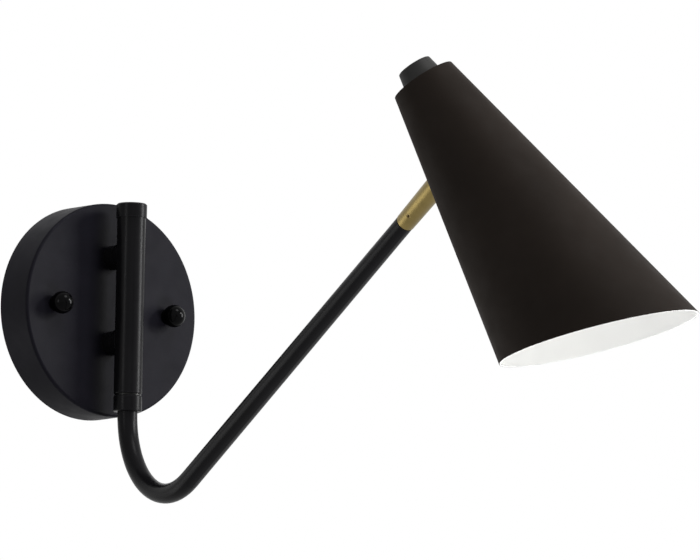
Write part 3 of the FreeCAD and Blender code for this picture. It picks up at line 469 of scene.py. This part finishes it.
def metal(name, colour, roughness, axis=None, tarnish=0.8, metallic=1.0):
    """Bare metal, with turning marks round an axis if one is given, and edges painted lighter for wear
    and a painted sheen.
    """
    material, tree, shader = new_material(name, metallic, specular=0.5)
    cloud = spread(tree, noise(tree, per_metre=90.0), 0.0, 1.0)
    tone = blend_colours(tree, cloud, shaded(colour, tarnish), colour)
    # edges painted lighter: partly wear, partly a painted sheen
    edge_wear_and_sheen = on_edges(tree, METAL_EDGE_WEAR_AND_SHEEN_WIDTH)
    tone = blend_colours(tree, edge_wear_and_sheen, tone, shaded(colour, METAL_EDGE_WEAR_AND_SHEEN))
    tree.links.new(tone, shader.inputs["Base Color"])
    marks = noise(tree, per_metre=900.0, detail=4.0) if axis is None else rings_along(tree, axis)
    add_roughness(tree, shader, marks, roughness, 0.06)
    add_bump(tree, shader, marks, distance=0.00002)
    return material


def moulded(name, colour, roughness):
    """Moulded plastic or rubber: an even colour with a faint texture."""
    material, tree, shader = new_material(name, metallic=0.0, specular=0.4)
    cloud = spread(tree, noise(tree, per_metre=150.0), 0.0, 1.0)
    tone = blend_colours(tree, cloud, shaded(colour, 0.93), colour)
    tree.links.new(tone, shader.inputs["Base Color"])
    add_roughness(tree, shader, noise(tree, per_metre=400.0), roughness, 0.05)
    add_bump(tree, shader, noise(tree, per_metre=2500.0, detail=2.0), distance=0.00002)
    return material


def shade_paint(name, outside_colour, inside_colour):
    """Matte black outside, matte white inside, parted on the rim."""
    material, tree, shader = new_material(name, metallic=0.0, specular=0.035)
    cloud = spread(tree, noise(tree, per_metre=30.0), 0.0, 1.0)
    darker = shaded(outside_colour, 0.88)
    lighter = shaded(outside_colour, 1.12)
    outside = blend_colours(tree, cloud, darker, lighter)
    inside = blend_colours(tree, cloud, shaded(inside_colour, 0.97), inside_colour)
    depth = depth_in_shade_wall(tree)
    white_side = calculate(tree, "Math", "GREATER_THAN", depth, OUTSIDE_PAINT_DEPTH)
    tone = blend_colours(tree, white_side, outside, inside)
    tree.links.new(tone, shader.inputs["Base Color"])
    add_roughness(tree, shader, noise(tree, per_metre=110.0), 0.61, 0.05)
    add_bump(tree, shader, noise(tree, per_metre=1800.0, detail=2.0), distance=0.00003)
    return material


def make_materials():
    """The finishes, by name: one for each material slot and some more."""
    stem_axis = joints["head_swivel"]["axis"]
    barrel_axis = (0, 0, 1)
    ball_black = shaded(NEUTRAL_BLACK, 0.35)
    return {
        "black_paint": powder_coat("black_paint", CANOPY_BLACK, 0.46, 0.035),
        "satin_black": powder_coat("satin_black", NEUTRAL_BLACK, 0.29, 0.055, grain=SMOOTH_GRAIN),
        "cap_painted_highlight_black": powder_coat("cap_painted_highlight_black", CAP_PAINTED_HIGHLIGHT_BLACK, 0.50, 0.06),
        "gloss_black": powder_coat(
            "gloss_black", ball_black, 0.08, 0.045, grain_per_metre=700.0, grain=0.00001,
        ),
        "shade_paint": shade_paint("shade_paint", SHADE_BLACK, SHADE_WHITE),
        "satin_brass": metal(
            "satin_brass", STEM_BRASS, 0.37, stem_axis, tarnish=0.75, metallic=0.90,
        ),
        "contact_brass": metal("contact_brass", CONTACT_BRASS, 0.25),
        "zinc_steel": metal("zinc_steel", ZINC, 0.33),
        "washer_steel": metal("washer_steel", shaded(ZINC, 0.02), 0.30, barrel_axis),
        "dark_steel": metal("dark_steel", DARK_STEEL, 0.45),
        "green_screw": powder_coat("green_screw", EARTH_GREEN, 0.30, 0.5),
        "bearing_plastic": moulded("bearing_plastic", BEARING_CREAM, 0.50),
        "holder_plastic": moulded("holder_plastic", HOLDER_CREAM, 0.45),
        "lead_sheath": moulded("lead_sheath", SHEATH_BLACK, 0.55),
        "core_plastic": moulded("core_plastic", CORE_WHITE, 0.45),
        "copper": metal("copper", COPPER, 0.28),
    }


def finish_cad_nodes(materials):
    """The slot's finish for every node, with a smoother black on the turned pieces."""
    finishes = dict(slots)
    for name in SMOOTH_NODES:
        finishes[name] = "satin_black"
    # the cap gets a lighter black, a painted highlight on the shade's own paint
    finishes["shade_cap"] = "cap_painted_highlight_black"
    for name, finish in finishes.items():
        for slot in nodes[name].material_slots:
            slot.material = materials[finish]


# ------------------------------------------------------------- mesh building

def skin(rows, closed):
    """Quads through rows of points, joined end to end or capped at both ends."""
    count = len(rows[0])
    joins = len(rows) if closed else len(rows) - 1
    faces = []
    for index in range(joins):
        first = index * count
        second = (index + 1) % len(rows) * count
        for step in range(count):
            after = (step + 1) % count
            faces.append((first + step, first + after, second + after, second + step))
    if not closed:
        last = (len(rows) - 1) * count
        faces.append(tuple(reversed(range(count))))
        faces.append(tuple(range(last, last + count)))
    return [point for row in rows for point in row], faces


def make_piece(name, skins, material, cad_node, hides_node):
    """One mesh from the skins, riding and finished as its CAD node is."""
    points = []
    faces = []
    for skin_points, skin_faces in skins:
        faces += [tuple(index + len(points) for index in face) for face in skin_faces]
        points += skin_points
    mesh = bpy.data.meshes.new(name)
    mesh.from_pydata(points, [], faces)
    mesh.polygons.foreach_set("use_smooth", [True] * len(faces))
    mesh.set_sharp_from_angle(angle=math.radians(SHARP_EDGE_ANGLE))
    mesh.materials.append(material)
    piece = bpy.data.objects.new(name, mesh)
    bpy.context.scene.collection.objects.link(piece)
    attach(piece, nodes[cad_node]["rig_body"])
    if hides_node:
        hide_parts(cad_node)


def turn_to(axis):
    return Vector(axis).to_track_quat("Z", "Y").to_matrix()


def circle_row(start, turn, radii, height):
    """A row of points round an axis at one height, with a radius for each."""
    row = []
    for index, radius in enumerate(radii):
        angle = 2.0 * math.pi * index / len(radii)
        local = Vector((radius * math.cos(angle), radius * math.sin(angle), height))
        row.append(tuple(start + turn @ local))
    return row


def v_thread(phase):
    """Depth of a cut thread over one pitch: 0 on the crest, 1 at the root."""
    return min(1.0, max(0.0, FLANK_LEVEL - abs(phase - 0.5) * FLANK_SLOPE))


def rolled_thread(phase):
    """Depth of a rolled thread over one pitch, round at crest and root."""
    return 0.5 - 0.5 * math.cos(2.0 * math.pi * phase)


def thread_radii(crest, depth, pitch, length, height, segments, form):
    """Radii round a thread at one height; it runs out at both ends."""
    relief = max(0.0, min(1.0, height / pitch, (length - height) / pitch))
    radii = []
    for index in range(segments):
        phase = (height / pitch - index / segments) % 1.0
        radii.append(crest - depth * (1.0 - relief * (1.0 - form(phase))))
    return radii


def threaded(start, axis, length, crest, depth, pitch, bore=0.0, segments=32, steps=8):
    """A rod, or a tube where it has a bore, with a cut thread."""
    turn = turn_to(axis)
    count = math.ceil(length / pitch * steps)
    rows = []
    for index in range(count + 1):
        height = length * index / count
        radii = thread_radii(crest, depth, pitch, length, height, segments, v_thread)
        rows.append(circle_row(start, turn, radii, height))
    if bore:
        rows.append(circle_row(start, turn, [bore] * segments, length))
        rows.append(circle_row(start, turn, [bore] * segments, 0.0))
    return skin(rows, bool(bore))


def bent_rod(points, radius, segments=16):
    """A round rod through a few points."""
    rows = []
    for index, point in enumerate(points):
        before = points[max(0, index - 1)]
        after = points[min(len(points) - 1, index + 1)]
        rows.append(circle_row(point, turn_to(after - before), [radius] * segments, 0.0))
    return skin(rows, False)


# ------------------------------------------------------------- detail pieces

def socket_line():
    """The lampholder's mouth and the direction out of it."""
    socket = mounts["lamp_socket"]
    return Vector(socket["pos_m"]), Vector(socket["axis"])


def make_studs(materials):
    """The two threaded studs, side by side in their node's box."""
    low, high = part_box("mounting_studs")
    radius = (high.z - low.z) / 2
    length = high.y - low.y
    skins = []
    for x in (low.x + radius, high.x - radius):
        start = Vector((x, high.y, 0))
        stud = threaded(start, (0, -1, 0), length, radius, STUD_THREAD_DEPTH, STUD_PITCH, segments=24)
        skins.append(stud)
    make_piece("stud_threads", skins, materials["zinc_steel"], "mounting_studs", True)


def nipple(start, axis, length, radius, bore):
    return threaded(start, axis, length, radius, NIPPLE_THREAD_DEPTH, NIPPLE_PITCH, bore)


def make_nipples(materials):
    """The three hollow threaded tubes."""
    low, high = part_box("wire_nipple")
    middle = (low + high) / 2
    start = Vector((middle.x, high.y, middle.z))
    radius = (high.x - low.x) / 2
    wire = nipple(start, (0, -1, 0), high.y - low.y, radius, WIRE_NIPPLE_BORE)
    low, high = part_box("hinge_nipple")
    middle = (low + high) / 2
    start = Vector((middle.x, middle.y, low.z))
    radius = (high.x - low.x) / 2
    hinge = nipple(start, (0, 0, 1), high.z - low.z, radius, HINGE_NIPPLE_BORE)
    socket, axis = socket_line()
    start = socket - axis * HOLDER_NIPPLE_ABOVE_SOCKET
    holder = nipple(start, axis, HOLDER_NIPPLE_LENGTH, HOLDER_NIPPLE_RADIUS, HOLDER_NIPPLE_BORE)
    tubes = {"wire_nipple": wire, "hinge_nipple": hinge, "holder_nipple": holder}
    for name, tube in tubes.items():
        make_piece(name + "_thread", [tube], materials["zinc_steel"], name, True)


def make_screw_shell(materials):
    """The rolled shell that the lamp screws into, thread inside and out."""
    socket, axis = socket_line()
    turn = turn_to(axis)
    back = socket - axis * SHELL_LENGTH
    outer = []
    inner = []
    for index in range(SHELL_STEPS + 1):
        height = SHELL_LENGTH * index / SHELL_STEPS
        radii = thread_radii(
            SHELL_CREST, SHELL_THREAD_DEPTH, SHELL_PITCH, SHELL_LENGTH, height,
            HOLDER_SEGMENTS, rolled_thread,
        )
        outer.append(circle_row(back, turn, radii, height))
        inner.append(circle_row(back, turn, [radius - SHELL_WALL for radius in radii], height))
    shell = skin(outer + inner[::-1], True)
    make_piece("rolled_shell", [shell], materials["contact_brass"], "screw_shell", True)


def cup_outline():
    """Radius and height of the cup's section, from its back round to its floor."""
    outline = [
        (CUP_CENTRE_HOLE, CUP_BACK),
        (CUP_OUTER - CUP_BACK_ROUNDING, CUP_BACK),
        (CUP_OUTER - CUP_BACK_BEVEL_POINT, CUP_BACK + CUP_BACK_BEVEL_POINT),
        (CUP_OUTER, CUP_BACK + CUP_BACK_ROUNDING),
    ]
    groove_radius = CUP_OUTER - CUP_GROOVE_DEPTH
    for groove in CUP_GROOVES:
        outline += [
            (CUP_OUTER, groove - CUP_GROOVE_HALF_WIDTH),
            (groove_radius, groove - CUP_GROOVE_FLOOR_HALF_WIDTH),
            (groove_radius, groove + CUP_GROOVE_FLOOR_HALF_WIDTH),
            (CUP_OUTER, groove + CUP_GROOVE_HALF_WIDTH),
        ]
    lip = (CUP_OUTER - CUP_INNER) / 2
    for index in range(CUP_LIP_STEPS + 1):
        angle = math.pi * index / CUP_LIP_STEPS
        radius = CUP_INNER + lip + lip * math.cos(angle)
        outline.append((radius, CUP_MOUTH - lip + lip * math.sin(angle)))
    outline += [(CUP_INNER, CUP_FLOOR), (CUP_CENTRE_HOLE, CUP_FLOOR)]
    return outline


def make_holder_cup(materials):
    """The insulating cup: rounded lip and three shallow grooves round its mouth."""
    socket, axis = socket_line()
    turn = turn_to(axis)
    rows = []
    for radius, height in cup_outline():
        rows.append(circle_row(socket, turn, [radius] * HOLDER_SEGMENTS, height))
    cup = skin(rows, False)
    make_piece("holder_cup", [cup], materials["holder_plastic"], "lampholder_body", True)


def make_conductors(materials):
    """The two cores of the lead, bared at their ends, inside the canopy."""
    sheath_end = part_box("base_lead")[1].y
    low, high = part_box("wire_nipple")
    exit_point = Vector((0, sheath_end, (low.z + high.z) / 2))
    bare_from = CORE_STEPS - BARE_STEPS
    cores = []
    ends = []
    for side in (-1, 1):
        line = []
        for index in range(CORE_STEPS + 1):
            along = index / CORE_STEPS
            eased = 3 * along ** 2 - 2 * along ** 3
            away = side * (CORE_SIDE_AT_SHEATH + CORE_SPREAD * eased)
            line.append(exit_point + Vector((away, CORE_LENGTH * along - CORE_IN_SHEATH, 0)))
        cores.append(bent_rod(line[:bare_from + 1], CORE_RADIUS))
        ends.append(bent_rod(line[bare_from:], BARE_RADIUS))
    make_piece("lead_cores", cores, materials["core_plastic"], "base_lead", False)
    make_piece("lead_core_ends", ends, materials["copper"], "base_lead", False)


def make_details(materials):
    make_studs(materials)
    make_nipples(materials)
    make_screw_shell(materials)
    make_holder_cup(materials)
    make_conductors(materials)


make_camera()
make_world()
make_floor()
make_lights()
materials = make_materials()
finish_cad_nodes(materials)
make_details(materials)
bpy.context.scene.view_settings.view_transform = "Standard"
